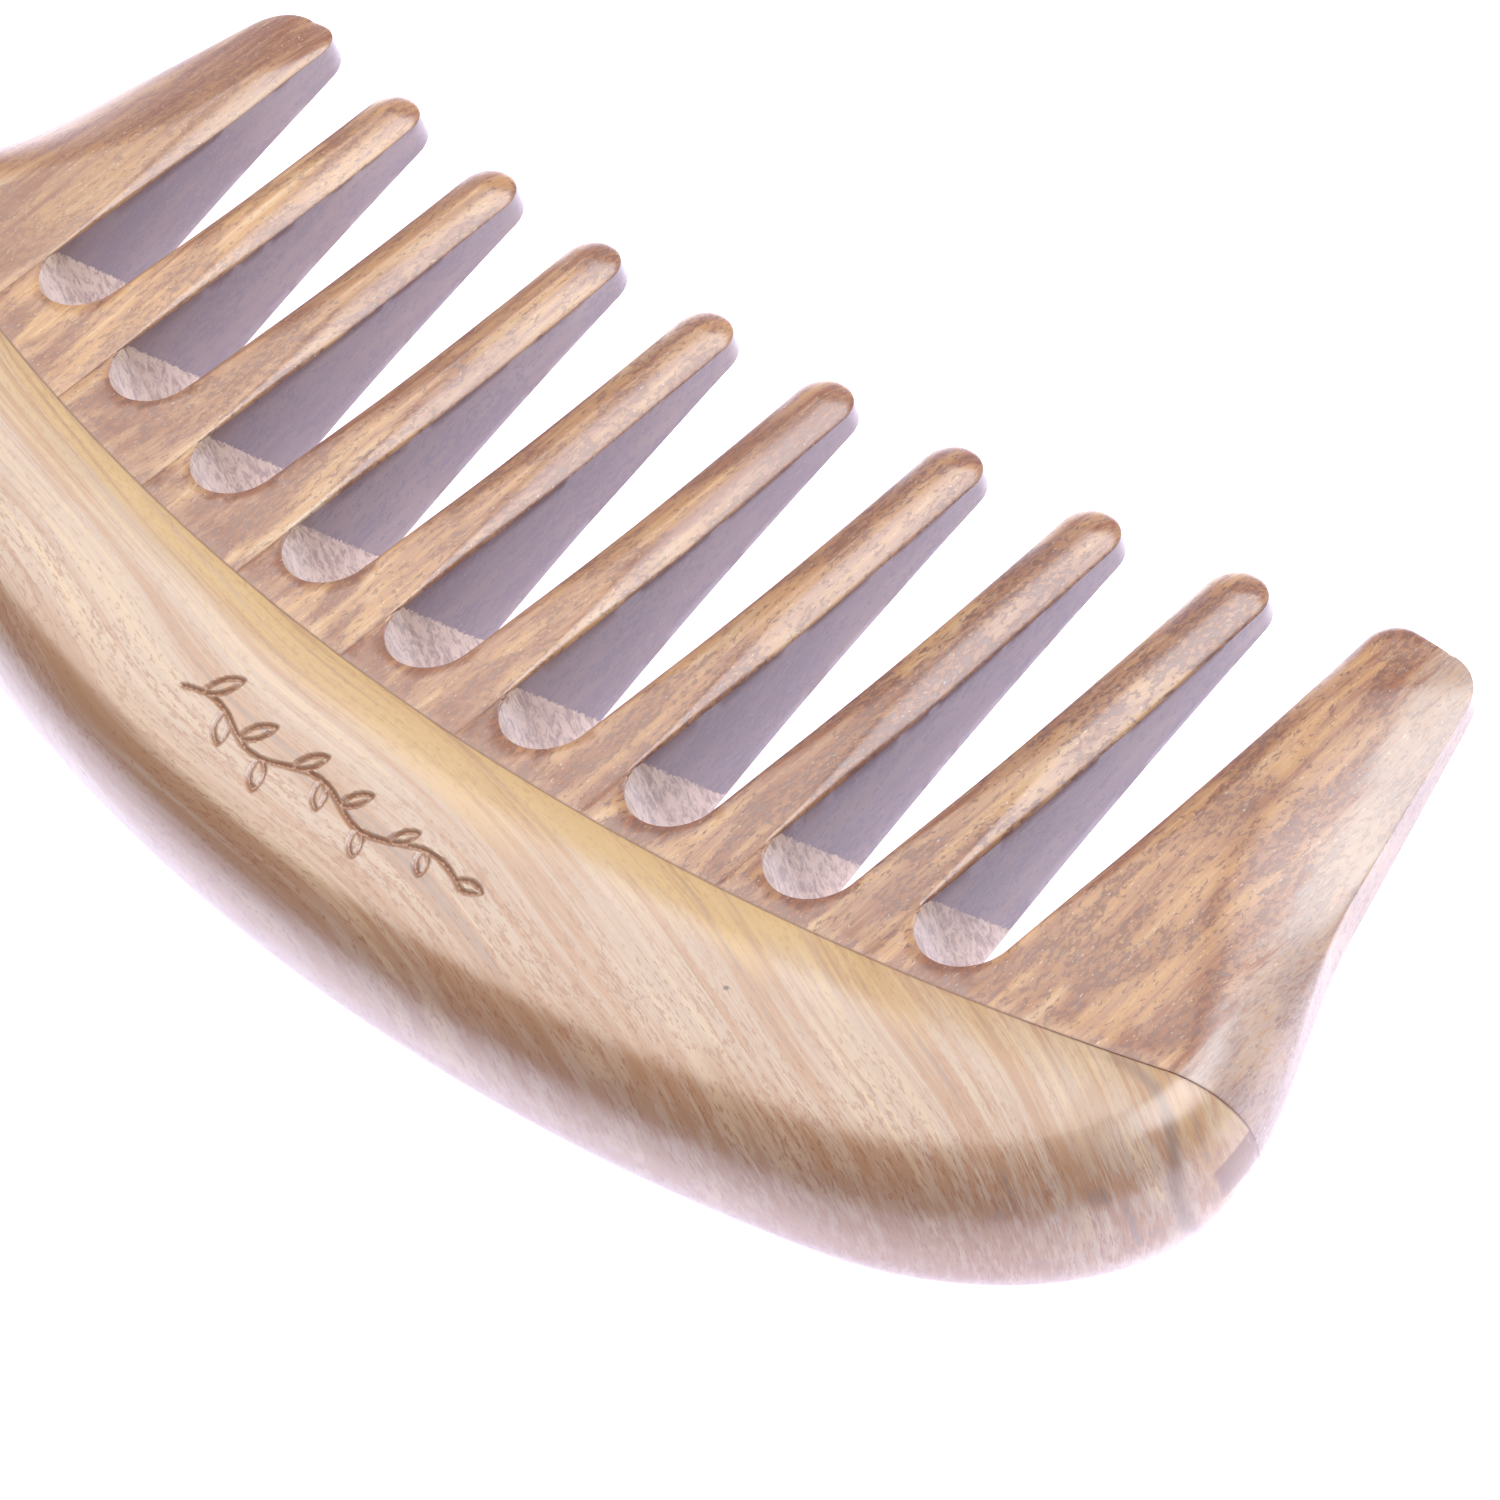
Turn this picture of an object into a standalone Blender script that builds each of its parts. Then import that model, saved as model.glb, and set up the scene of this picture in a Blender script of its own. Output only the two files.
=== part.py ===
"""Wide tooth comb: a crescent back and ten tooth staves glued edge to edge.

Frame: +X along the comb, +Y towards the tooth tips, +Z through the thickness.
The comb lies flat, with the lower crown of its back on Z = 0.
All lengths are in metres.
"""

import math

import bmesh
import bpy

# Teeth and slots
TOOTH_COUNT = 10
PITCH = 0.0130
SLOT_ROOT_WIDTH = 0.0076
SLOT_TIP_WIDTH = 0.0079
TIP_CORNER = 0.0024

# Arcs that bulge towards the back: middle in X, lowest point in Y, radius
OUTER_ARC = (0.0087, -0.03334, 0.196)
JOINT_ARC = (0.0055, -0.01434, 0.260)
SLOT_ARC = (0.0104, -0.01214, 0.222)
TIP_ARC = (-0.0060, 0.02706, 0.355)

# Outline of the right end; the left end mirrors it, a little higher and with a narrower guard
ARC_END_X = 0.0560
HEEL_X = 0.0774
HEEL_Y = -0.00774
WAIST_X = 0.0704
WAIST_Y = 0.01296
GUARD_TIP_X = 0.0650
LEFT_END_RISE = 0.0020
LEFT_GUARD_INSET = 0.0016

# Lengths of the handles that round the end: off the arc, into and out of the heel, into the waist
ARC_HANDLE = 0.012
HEEL_HANDLE_BELOW = 0.009
HEEL_HANDLE_ABOVE = 0.008
WAIST_HANDLE = 0.008

# Thickness, as half heights above the middle plane of the comb
HALF_CROWN = 0.0069
HALF_JOINT = 0.0061
HALF_SLOT = 0.0058
HALF_TIP = 0.0016
CREST_INSET = 0.0036
RIM_ROUND = 0.0048
TOOTH_LENGTH = 0.0400

# Tongue of the staves in the groove of the back
TONGUE_DEPTH = 0.0040
TONGUE_HALF = 0.0016

# Room between neighbouring solids
GLUE_GAP = 0.0003

# Corners closer than this are one corner, and edges flatter than this angle (radians) are dropped
WELD_DISTANCE = 0.000001
FLAT_ANGLE = 0.001
SCREW_WELD = 0.00001

# Edges of an outline's extrusion sharper than this many degrees are rounded
RIM_LEAST_ANGLE = 60.0

# How finely round shapes are divided
ARC_STEPS = 40
FOOT_STEPS = 8
CORNER_STEPS = 5
SLOT_STEPS = 12
END_STEPS = 10
RIM_SEGMENTS = 5
RING_STEPS = 240

# Cutters and blanks reach past what they cut or what trims them
OVERRUN = 0.004
STAVE_OVERHEIGHT = 0.001
JOINT_CUTTER_TOP = 0.030
GROOVE_CUTTER_TOP = 0.031
BLANK_TOP = 0.045
ENVELOPE_REACH = 0.030
ENVELOPE_END = 0.010
STEPS_ABOVE_HEEL = 6

# Plain finishes; neighbouring staves differ a little
BACK_COLOUR = (0.42, 0.22, 0.08)
BACK_ROUGHNESS = 0.38
STAVE_COLOUR = (0.22, 0.09, 0.04)
STAVE_ROUGHNESS = 0.40
STAVE_SHADES = (0.85, 1.0, 1.15)

STAVE_NAMES = (
    ["left_guard_tooth"]
    + [f"tooth_{number}" for number in range(1, TOOTH_COUNT - 1)]
    + ["right_guard_tooth"]
)
GUARDS = (0, TOOTH_COUNT - 1)


def clear_scene():
    for item in list(bpy.data.objects):
        bpy.data.objects.remove(item, do_unlink=True)


def make_collection(name):
    collection = bpy.data.collections.new(name)
    bpy.context.scene.collection.children.link(collection)
    return collection


def make_material(name, colour, roughness):
    material = bpy.data.materials.new(name)
    material.use_nodes = True
    shader = material.node_tree.nodes["Principled BSDF"]
    shader.inputs["Base Color"].default_value = (*colour, 1.0)
    shader.inputs["Roughness"].default_value = roughness
    shader.inputs["Metallic"].default_value = 0.0
    return material


def arc_y(arc, x):
    """Y of an arc at x."""
    middle, lowest, radius = arc
    return lowest + radius - math.sqrt(radius**2 - (x - middle) ** 2)


def arc_points(arc, x_start, x_end, steps, inset=0.0):
    """Points along an arc, moved towards the tips by inset."""
    points = []
    for step in range(steps + 1):
        x = x_start + (x_end - x_start) * step / steps
        points.append((x, arc_y(arc, x) + inset))
    return points


def bezier_points(start, pull_start, pull_end, end, steps):
    points = []
    for step in range(1, steps + 1):
        t = step / steps
        weights = ((1 - t) ** 3, 3 * t * (1 - t) ** 2, 3 * t**2 * (1 - t), t**3)
        corners = (start, pull_start, pull_end, end)
        points.append(tuple(sum(w * c[axis] for w, c in zip(weights, corners)) for axis in (0, 1)))
    return points


def corner_points(centre, radius, angle_start, angle_end, steps=CORNER_STEPS):
    points = []
    for step in range(steps + 1):
        angle = math.radians(angle_start + (angle_end - angle_start) * step / steps)
        points.append((centre[0] + radius * math.cos(angle), centre[1] + radius * math.sin(angle)))
    return points


def guard_x(side, x):
    """X of a point on a guard's outer edge, which lies further in at the left end."""
    return x if side > 0 else LEFT_GUARD_INSET - x


def end_outline(side):
    """One end of the outline, from the outer arc round the heel and waist to the guard tip."""
    rise = 0.0 if side > 0 else LEFT_END_RISE
    start = (side * ARC_END_X, arc_y(OUTER_ARC, side * ARC_END_X))
    slope = math.asin((start[0] - OUTER_ARC[0]) / OUTER_ARC[2])
    heel = (side * HEEL_X, HEEL_Y + rise)
    waist = (guard_x(side, WAIST_X), WAIST_Y + rise)
    tip_x = guard_x(side, GUARD_TIP_X)
    tip = (tip_x, arc_y(TIP_ARC, tip_x))
    lean = math.atan2(waist[0] - tip[0], tip[1] - waist[1])
    leave_x = start[0] + side * ARC_HANDLE * math.cos(slope)
    leave_arc = (leave_x, start[1] + side * ARC_HANDLE * math.sin(slope))
    into_heel = (heel[0], heel[1] - HEEL_HANDLE_BELOW)
    leave_heel = (heel[0], heel[1] + HEEL_HANDLE_ABOVE)
    into_waist = (waist[0] + WAIST_HANDLE * math.sin(lean), waist[1] - WAIST_HANDLE * math.cos(lean))
    points = bezier_points(start, leave_arc, into_heel, heel, END_STEPS)
    points += bezier_points(heel, leave_heel, into_waist, waist, END_STEPS)
    points.append(tip)
    return points


def extruded_outline(name, points, half_height):
    """A closed flat outline, extruded both ways from the middle plane, as a mesh object."""
    curve = bpy.data.curves.new(name, "CURVE")
    curve.dimensions = "2D"
    curve.fill_mode = "BOTH"
    curve.extrude = half_height
    spline = curve.splines.new("POLY")
    spline.points.add(len(points) - 1)
    for point, (x, y) in zip(spline.points, points):
        point.co = (x, y, 0.0, 1.0)
    spline.use_cyclic_u = True
    holder = bpy.data.objects.new(name + "_curve", curve)
    holder.location.z = HALF_CROWN
    bpy.context.scene.collection.objects.link(holder)
    bpy.context.view_layer.update()
    depsgraph = bpy.context.evaluated_depsgraph_get()
    mesh = bpy.data.meshes.new_from_object(holder.evaluated_get(depsgraph))
    solid = bpy.data.objects.new(name, mesh)
    solid.matrix_world = holder.matrix_world.copy()
    bpy.data.objects.remove(holder, do_unlink=True)
    shape = bmesh.new()
    shape.from_mesh(mesh)
    bmesh.ops.remove_doubles(shape, verts=shape.verts, dist=WELD_DISTANCE)
    bmesh.ops.dissolve_limit(shape, angle_limit=FLAT_ANGLE, verts=shape.verts, edges=shape.edges)
    bmesh.ops.recalc_face_normals(shape, faces=shape.faces)
    shape.to_mesh(mesh)
    shape.free()
    mesh.name = name
    return solid


def add_to(collection, item):
    collection.objects.link(item)
    return item


def hide_cutter(item):
    item.hide_render = True
    item.display_type = "WIRE"


def round_rim(item):
    """Rounds the two long edges of an extruded outline."""
    bevel = item.modifiers.new("rim", "BEVEL")
    bevel.width = RIM_ROUND
    bevel.segments = RIM_SEGMENTS
    bevel.use_clamp_overlap = False
    bevel.limit_method = "ANGLE"
    bevel.angle_limit = math.radians(RIM_LEAST_ANGLE)


def add_boolean(target, cutter, operation):
    modifier = target.modifiers.new(cutter.name, "BOOLEAN")
    modifier.operation = operation
    modifier.solver = "EXACT"
    modifier.object = cutter


def ring_cutter(name, collection, profile):
    """A profile of (radius, half height) points turned about the joint arc's centre."""
    outline = [(radius, -height) for radius, height in profile] + list(reversed(profile))
    mesh = bpy.data.meshes.new(name)
    shape = bmesh.new()
    corners = [shape.verts.new((radius, 0.0, height)) for radius, height in outline]
    for index, corner in enumerate(corners):
        shape.edges.new((corner, corners[(index + 1) % len(corners)]))
    shape.to_mesh(mesh)
    shape.free()
    ring = add_to(collection, bpy.data.objects.new(name, mesh))
    ring.location = (JOINT_ARC[0], JOINT_ARC[1] + JOINT_ARC[2], HALF_CROWN)
    screw = ring.modifiers.new("turn", "SCREW")
    screw.axis = "Z"
    screw.angle = math.radians(360.0)
    screw.steps = RING_STEPS
    screw.render_steps = RING_STEPS
    screw.use_merge_vertices = True
    screw.merge_threshold = SCREW_WELD
    hide_cutter(ring)
    return ring


def thickness_envelope(cutters):
    """Everything between the sloping faces: bevel above the joint, then teeth thinning to the tips."""
    joint = JOINT_ARC[2]
    rise = (HALF_CROWN - HALF_JOINT) / CREST_INSET
    slot = joint - (SLOT_ARC[1] - JOINT_ARC[1])
    profile = [
        (joint + ENVELOPE_REACH, HALF_JOINT + rise * ENVELOPE_REACH),
        (joint, HALF_JOINT),
        (slot, HALF_SLOT),
        (slot - TOOTH_LENGTH, HALF_TIP),
        (slot - TOOTH_LENGTH - ENVELOPE_END, HALF_TIP),
    ]
    return ring_cutter("thickness_envelope", cutters, profile)


def comb_blank(cutters):
    """The comb's whole outline with its rim rounded over."""
    points = arc_points(OUTER_ARC, -ARC_END_X, ARC_END_X, ARC_STEPS)
    points += end_outline(1)
    points += [(guard_x(side, GUARD_TIP_X), BLANK_TOP) for side in (1, -1)]
    points += list(reversed(end_outline(-1)))
    blank = add_to(cutters, extruded_outline("comb_blank", points, HALF_CROWN))
    round_rim(blank)
    hide_cutter(blank)
    return blank


def slot_middle(number):
    """X of a slot's middle, numbered from 1 at the left."""
    return (number - TOOTH_COUNT / 2) * PITCH


def stave_foot(index):
    """X of both sides of a stave where it meets the back."""
    left = -HEEL_X - OVERRUN
    right = HEEL_X + OVERRUN
    if index > 0:
        left = slot_middle(index) - SLOT_ROOT_WIDTH / 2 + GLUE_GAP
    if index < TOOTH_COUNT - 1:
        right = slot_middle(index + 1) - SLOT_ROOT_WIDTH / 2
    return left, right


def slot_root(number):
    """Y where the half round bottom of a slot meets its straight walls."""
    return arc_y(SLOT_ARC, slot_middle(number)) + SLOT_ROOT_WIDTH / 2


def tooth_end(index):
    """Left X, right X and Y of a tooth's level end, whose middle is on the tip arc."""
    left = guard_x(-1, GUARD_TIP_X) if index == 0 else slot_middle(index) + SLOT_TIP_WIDTH / 2
    right = guard_x(1, GUARD_TIP_X)
    if index < TOOTH_COUNT - 1:
        right = slot_middle(index + 1) - SLOT_TIP_WIDTH / 2
    return left, right, arc_y(TIP_ARC, (left + right) / 2)


def stave_outline(index):
    """Outline of one stave, anticlockwise from the foot of its left side."""
    foot_left, foot_right = stave_foot(index)
    tip_left, tip_right, top = tooth_end(index)
    points = arc_points(JOINT_ARC, foot_left, foot_right, FOOT_STEPS, GLUE_GAP / 2)
    if index == TOOTH_COUNT - 1:
        points.append((foot_right, WAIST_Y))
        points.append((WAIST_X + OVERRUN, WAIST_Y))
    else:
        points.append((foot_right, slot_root(index + 1)))
    points += corner_points((tip_right - TIP_CORNER, top - TIP_CORNER), TIP_CORNER, 0, 90)
    points += corner_points((tip_left + TIP_CORNER, top - TIP_CORNER), TIP_CORNER, 90, 180)
    if index == 0:
        points.append((-WAIST_X - OVERRUN, WAIST_Y))
        points.append((foot_left, WAIST_Y))
    else:
        reach = SLOT_ROOT_WIDTH / 2 - GLUE_GAP
        stop = 180 + math.degrees(math.acos(reach / (SLOT_ROOT_WIDTH / 2)))
        bottom = (slot_middle(index), slot_root(index))
        points += corner_points(bottom, SLOT_ROOT_WIDTH / 2, 360, stop, SLOT_STEPS)
    return points


def tongue_outline(index):
    """Outline of a stave's tongue, from inside the stave into the groove of the back."""
    foot_left, foot_right = stave_foot(index)
    into_stave = SLOT_ARC[1] - JOINT_ARC[1] - GLUE_GAP
    lower = arc_points(JOINT_ARC, foot_left, foot_right, FOOT_STEPS, GLUE_GAP - TONGUE_DEPTH)
    upper = arc_points(JOINT_ARC, foot_right, foot_left, FOOT_STEPS, into_stave)
    return lower + upper


def make_back(parts, cutters, envelope):
    """The crescent back: rounded along its rim, cut along the joint, with a through groove there."""
    points = arc_points(OUTER_ARC, -ARC_END_X, ARC_END_X, ARC_STEPS)
    past_heel = END_STEPS + STEPS_ABOVE_HEEL
    points += end_outline(1)[:past_heel]
    points += list(reversed(end_outline(-1)[:past_heel]))
    back = add_to(parts, extruded_outline("back", points, HALF_CROWN))
    round_rim(back)
    add_boolean(back, envelope, "INTERSECT")
    edge = arc_points(JOINT_ARC, -HEEL_X - OVERRUN, HEEL_X + OVERRUN, ARC_STEPS, -GLUE_GAP / 2)
    edge += [(HEEL_X + OVERRUN, JOINT_CUTTER_TOP), (-HEEL_X - OVERRUN, JOINT_CUTTER_TOP)]
    joint_cutter = add_to(cutters, extruded_outline("joint_cutter", edge, 2 * HALF_CROWN))
    hide_cutter(joint_cutter)
    add_boolean(back, joint_cutter, "DIFFERENCE")
    floor = arc_points(JOINT_ARC, -HEEL_X - OVERRUN, HEEL_X + OVERRUN, ARC_STEPS, -TONGUE_DEPTH)
    floor += [(HEEL_X + OVERRUN, GROOVE_CUTTER_TOP), (-HEEL_X - OVERRUN, GROOVE_CUTTER_TOP)]
    groove = add_to(cutters, extruded_outline("groove_cutter", floor, TONGUE_HALF + GLUE_GAP))
    hide_cutter(groove)
    add_boolean(back, groove, "DIFFERENCE")
    return back


def make_stave(index, name, parts, cutters, blank, envelope):
    """One tooth stave: its plan, thinned by the envelope, with a tongue along its foot."""
    stave = add_to(parts, extruded_outline(name, stave_outline(index), HALF_CROWN + STAVE_OVERHEIGHT))
    add_boolean(stave, envelope, "INTERSECT")
    tongue = add_to(cutters, extruded_outline(name + "_tongue", tongue_outline(index), TONGUE_HALF))
    hide_cutter(tongue)
    add_boolean(stave, tongue, "UNION")
    if index in GUARDS:
        add_boolean(stave, blank, "INTERSECT")
    return stave


def main():
    clear_scene()
    parts = make_collection("wide_tooth_comb")
    cutters = make_collection("cutters")
    envelope = thickness_envelope(cutters)
    blank = comb_blank(cutters)
    back = make_back(parts, cutters, envelope)
    back.data.materials.clear()
    back.data.materials.append(make_material("back_wood", BACK_COLOUR, BACK_ROUGHNESS))
    for index, name in enumerate(STAVE_NAMES):
        stave = make_stave(index, name, parts, cutters, blank, envelope)
        shade = STAVE_SHADES[index % len(STAVE_SHADES)]
        colour = tuple(shade * part for part in STAVE_COLOUR)
        stave.data.materials.clear()
        stave.data.materials.append(make_material(name + "_wood", colour, STAVE_ROUGHNESS))


main()
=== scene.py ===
"""Looks for the wide tooth comb: eleven finely meshed wooden pieces, light, floor and camera.

Every piece replaces its CAD node. Shapes are worked out in millimetres from the comb's
own arcs and turned into metres when the meshes are made.
"""

import math

import bpy
import numpy as np
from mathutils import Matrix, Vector, noise
from mathutils.geometry import delaunay_2d_cdt


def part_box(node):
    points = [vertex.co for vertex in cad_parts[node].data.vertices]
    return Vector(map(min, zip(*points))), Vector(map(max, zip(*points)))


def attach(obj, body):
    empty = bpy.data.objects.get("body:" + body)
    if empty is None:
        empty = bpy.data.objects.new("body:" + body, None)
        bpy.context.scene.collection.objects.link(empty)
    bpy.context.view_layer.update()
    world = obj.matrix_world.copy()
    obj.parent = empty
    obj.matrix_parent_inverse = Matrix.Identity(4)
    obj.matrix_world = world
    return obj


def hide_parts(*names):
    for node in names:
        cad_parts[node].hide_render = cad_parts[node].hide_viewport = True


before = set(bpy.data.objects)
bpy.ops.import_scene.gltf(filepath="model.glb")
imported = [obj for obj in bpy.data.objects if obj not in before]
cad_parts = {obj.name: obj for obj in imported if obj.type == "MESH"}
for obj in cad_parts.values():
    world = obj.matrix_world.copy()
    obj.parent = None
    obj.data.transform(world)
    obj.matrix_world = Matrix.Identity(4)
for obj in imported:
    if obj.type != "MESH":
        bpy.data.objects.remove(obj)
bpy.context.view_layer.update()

BACK_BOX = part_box("back")
MM = 0.001

# ---------------------------------------------------------------- comb dimensions, in mm
TOOTH_COUNT = 10
PITCH = 13.0
SLOT_ROOT_WIDTH = 7.6
SLOT_TIP_WIDTH = 7.9
SLOT_RADIUS = SLOT_ROOT_WIDTH / 2
TIP_CORNER = 2.4
GUARD_CORNER = 3.4

# Arcs that bulge towards the back: middle in X, lowest point in Y, radius
OUTER_ARC = (8.7, -33.34, 196.0)
JOINT_ARC = (5.5, -14.34, 260.0)
SLOT_ARC = (10.4, -12.14, 222.0)
TIP_ARC = (-6.0, 27.06, 355.0)

ARC_END_X = 56.0
HEEL = (77.4, -7.74)
WAIST = (70.4, 12.96)
GUARD_TIP_X = 65.0
LEFT_END_RISE = 2.0
LEFT_GUARD_INSET = 1.6

# How far the curves of an end are pulled straight on from the arc, the heel, the waist and the corner
ARC_PULL = 12
INTO_HEEL_PULL = 9
LEAVE_HEEL_PULL = 8
WAIST_PULL = 8
CORNER_PULL = 0.65

# Middle plane, and half heights above it
MIDDLE = (BACK_BOX[0][2] + BACK_BOX[1][2]) / 2 / MM
HALF_CROWN = (BACK_BOX[1][2] - BACK_BOX[0][2]) / 2 / MM
HALF_JOINT = 6.1
HALF_SLOT = 5.8
HALF_TIP = 1.6
TONGUE_HALF = 1.6

# Distances in plan, square to the joint arc
CREST_INSET = 3.6
TOOTH_LENGTH = 40.0
TONGUE_DEPTH = 4.0

# Softness of the crest: along the comb, and what is added towards its ends
CREST_SOFT = 0.35
CREST_SOFT_END = 1.5
CREST_SOFT_FROM, CREST_SOFT_TO = 45.0, 74.0
EXPONENT_LIMIT = 30

# Unevenness left by sanding: depth, size and place in the noise
HAND_WEAR = [(0.028, 9.0, 0.3), (0.010, 3.1, 5.1)]

# Edge rounding as (width in plan, depth as a share of the half height, power of the curve):
# power 2 is an ellipse, and nearer to 1 it flattens into a chamfer
HEEL_ROUND = (5.2, 0.95, 2.0)
GUARD_ROUND = (8.2, 0.66, 1.22)
TIP_ROUND = (2.5, 0.58, 1.35)
ROOT_ROUND = (0.35, 0.05, 2.0)
SLOT_ROUND = (0.22, 0.04, 2.0)
HEEL_ROUND_Y, GUARD_ROUND_Y = -4.0, 15.0
WIDENING_FROM, WIDENING_TO = -0.02, 0.45
LEAST_WALL = 0.12

# Seams between the pieces: eased edge, gap, and how far and how strongly the glue shows
SEAM_ROUND = 0.035
SEAM_GAP = 0.004
GLUE_REACH = 0.12
SEAM_GLUE_SHARE = 0.45

# Feather edge, where a slot's round bottom thins out against the seam
FEATHER_THICKNESS = 0.02
FEATHER_ANGLE = math.degrees(math.acos(1 - FEATHER_THICKNESS / SLOT_RADIUS))
FEATHER_DROP = SLOT_RADIUS * math.sin(math.radians(FEATHER_ANGLE))
FEATHER_REACH = 0.5
FEATHER_SCALE = 10
FEATHER_SLANT = 0.055

# Spacing and number of the points on the outlines
OUTER_SPACING = 1.0
WALL_SPACING = 0.8
GUARD_SPACING = 0.7
SEAM_SPACING = 0.6
TIP_SPACING = 0.5
END_STEPS = 60
SLOT_STEPS = 36
CORNER_STEPS = 12

# Points along the joint: even, and closer together over a stretch at each end
JOINT_SPACING = 0.8
JOINT_CLOSE_LENGTH = 7.0
JOINT_CLOSE_POINTS = 22
JOINT_MARGIN = 0.6
JOINT_CLEARANCE = 0.25
SAME_PLACE = 1e-6

# Mesh inside the outlines
LATTICE = 0.95
LATTICE_CLEARANCE = 0.55
CARVED_LATTICE = 0.15
CARVED_MARGIN = 0.25
CARVED_BORDER = 1
ROW_SHARE = 0.87
RING_STEPS = {"rim": 14, "tooth": 7, "slot": 2}
RING_TOLERANCE = 0.9
RING_CLEARANCE = 0.10
WALL_ROWS = 8
SHARP_ANGLE = math.radians(38)
MERGE_DISTANCE = 1e-7
BATCH = 2000

STAVE_NAMES = (
    ["left_guard_tooth"]
    + [f"tooth_{number}" for number in range(1, TOOTH_COUNT - 1)]
    + ["right_guard_tooth"]
)


# ---------------------------------------------------------------- plan of the comb
def arc_y(arc, x):
    middle, lowest, radius = arc
    return lowest + radius - np.sqrt(radius**2 - (x - middle) ** 2)


def below_joint(x, y):
    """Distance from the joint arc towards the back; negative on the teeth's side."""
    middle, lowest, radius = JOINT_ARC
    return np.hypot(x - middle, y - lowest - radius) - radius


def smooth_step(low, high, value):
    share = np.clip((value - low) / (high - low), 0.0, 1.0)
    return share * share * (3 - 2 * share)


def slot_middle(number):
    """X of a slot's middle, numbered from 1 at the left."""
    return (number - TOOTH_COUNT / 2) * PITCH


def slot_root(number):
    """Y where the half round bottom of a slot meets its straight walls."""
    return float(arc_y(SLOT_ARC, slot_middle(number))) + SLOT_RADIUS


def seam_x(number):
    """X of the seam on the left of a slot."""
    return slot_middle(number) - SLOT_RADIUS


def bezier(start, pull_start, pull_end, end, steps):
    """Points of a cubic curve, without its last point."""
    points = []
    for step in range(steps):
        t = step / steps
        weights = ((1 - t) ** 3, 3 * t * (1 - t) ** 2, 3 * t**2 * (1 - t), t**3)
        corners = (start, pull_start, pull_end, end)
        points.append(tuple(
            sum(weight * corner[axis] for weight, corner in zip(weights, corners)) for axis in (0, 1)
        ))
    return points


def partway(start, end, share):
    """The point at a share of the way from start to end."""
    return tuple((1 - share) * low + share * high for low, high in zip(start, end))


def straight(start, end, spacing):
    """Points from start up to, but not including, end."""
    steps = max(1, round(math.dist(start, end) / spacing))
    return [
        (start[0] + (end[0] - start[0]) * step / steps, start[1] + (end[1] - start[1]) * step / steps)
        for step in range(steps)
    ]


def turn(centre, radius, first, last, steps):
    """Points of an arc in degrees, without its last point."""
    points = []
    for step in range(steps):
        angle = math.radians(first + (last - first) * step / steps)
        points.append((centre[0] + radius * math.cos(angle), centre[1] + radius * math.sin(angle)))
    return points


def guard_x(side, x):
    """X of a point on a guard's outer edge, which lies further in at the left end."""
    return x if side > 0 else LEFT_GUARD_INSET - x


def tooth_end(index):
    """Left X, right X and Y of a tooth's level end, whose middle is on the tip arc."""
    left = guard_x(-1, GUARD_TIP_X) if index == 0 else slot_middle(index) + SLOT_TIP_WIDTH / 2
    right = guard_x(1, GUARD_TIP_X)
    if index < TOOTH_COUNT - 1:
        right = slot_middle(index + 1) - SLOT_TIP_WIDTH / 2
    return left, right, float(arc_y(TIP_ARC, (left + right) / 2))


def end_path(side):
    """One end of the comb from the outer arc round heel and waist to the guard's outer corner."""
    rise = 0.0 if side > 0 else LEFT_END_RISE
    start = (side * ARC_END_X, float(arc_y(OUTER_ARC, side * ARC_END_X)))
    slope = math.asin((start[0] - OUTER_ARC[0]) / OUTER_ARC[2])
    heel = (side * HEEL[0], HEEL[1] + rise)
    waist = (guard_x(side, WAIST[0]), WAIST[1] + rise)
    top = tooth_end(TOOTH_COUNT - 1 if side > 0 else 0)[2]
    tip = (guard_x(side, GUARD_TIP_X), top)
    lean = math.atan2(waist[0] - tip[0], tip[1] - waist[1])
    pull = side * ARC_PULL
    leave_arc = (start[0] + pull * math.cos(slope), start[1] + pull * math.sin(slope))
    into_heel = (heel[0], heel[1] - INTO_HEEL_PULL)
    leave_heel = (heel[0], heel[1] + LEAVE_HEEL_PULL)
    into_waist = (waist[0] + WAIST_PULL * math.sin(lean), waist[1] - WAIST_PULL * math.cos(lean))
    toward_waist = (tip[0] + GUARD_CORNER * math.sin(lean), tip[1] - GUARD_CORNER * math.cos(lean))
    inward = (tip[0] - side * GUARD_CORNER, top)
    points = bezier(start, leave_arc, into_heel, heel, END_STEPS)
    points += bezier(heel, leave_heel, into_waist, waist, END_STEPS)
    points += straight(waist, toward_waist, GUARD_SPACING)
    pulls = [partway(corner, tip, CORNER_PULL) for corner in (toward_waist, inward)]
    points += bezier(toward_waist, *pulls, inward, CORNER_STEPS)
    return points + [inward]


def split_end(side):
    """The end path cut where the joint arc meets it: the back's part, the guard's part, the meeting point."""
    path = end_path(side)
    depth = [float(below_joint(*point)) for point in path]
    cut = next(place for place, value in enumerate(depth) if value < 0)
    share = depth[cut - 1] / (depth[cut - 1] - depth[cut])
    return path[:cut], path[cut:], partway(path[cut - 1], path[cut], share)


def joint_xs(left_end, right_end):
    """X of the points along the joint: even, but closer together under the rounded rim."""
    seams = np.array([seam_x(number) for number in range(1, TOOTH_COUNT)])
    xs = {round(float(x), 6) for x in seams} | {left_end, right_end}
    close = JOINT_CLOSE_LENGTH * (1 - np.cos(np.linspace(0, math.pi / 2, JOINT_CLOSE_POINTS)))
    xs |= {float(left_end + inset) for inset in close}
    xs |= {float(right_end - inset) for inset in close}
    margin = JOINT_CLOSE_LENGTH + JOINT_MARGIN
    even = np.arange(left_end + margin, right_end - margin, JOINT_SPACING)
    xs |= {float(x) for x in even if np.abs(seams - x).min() > JOINT_CLEARANCE}
    return sorted(xs)


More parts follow.
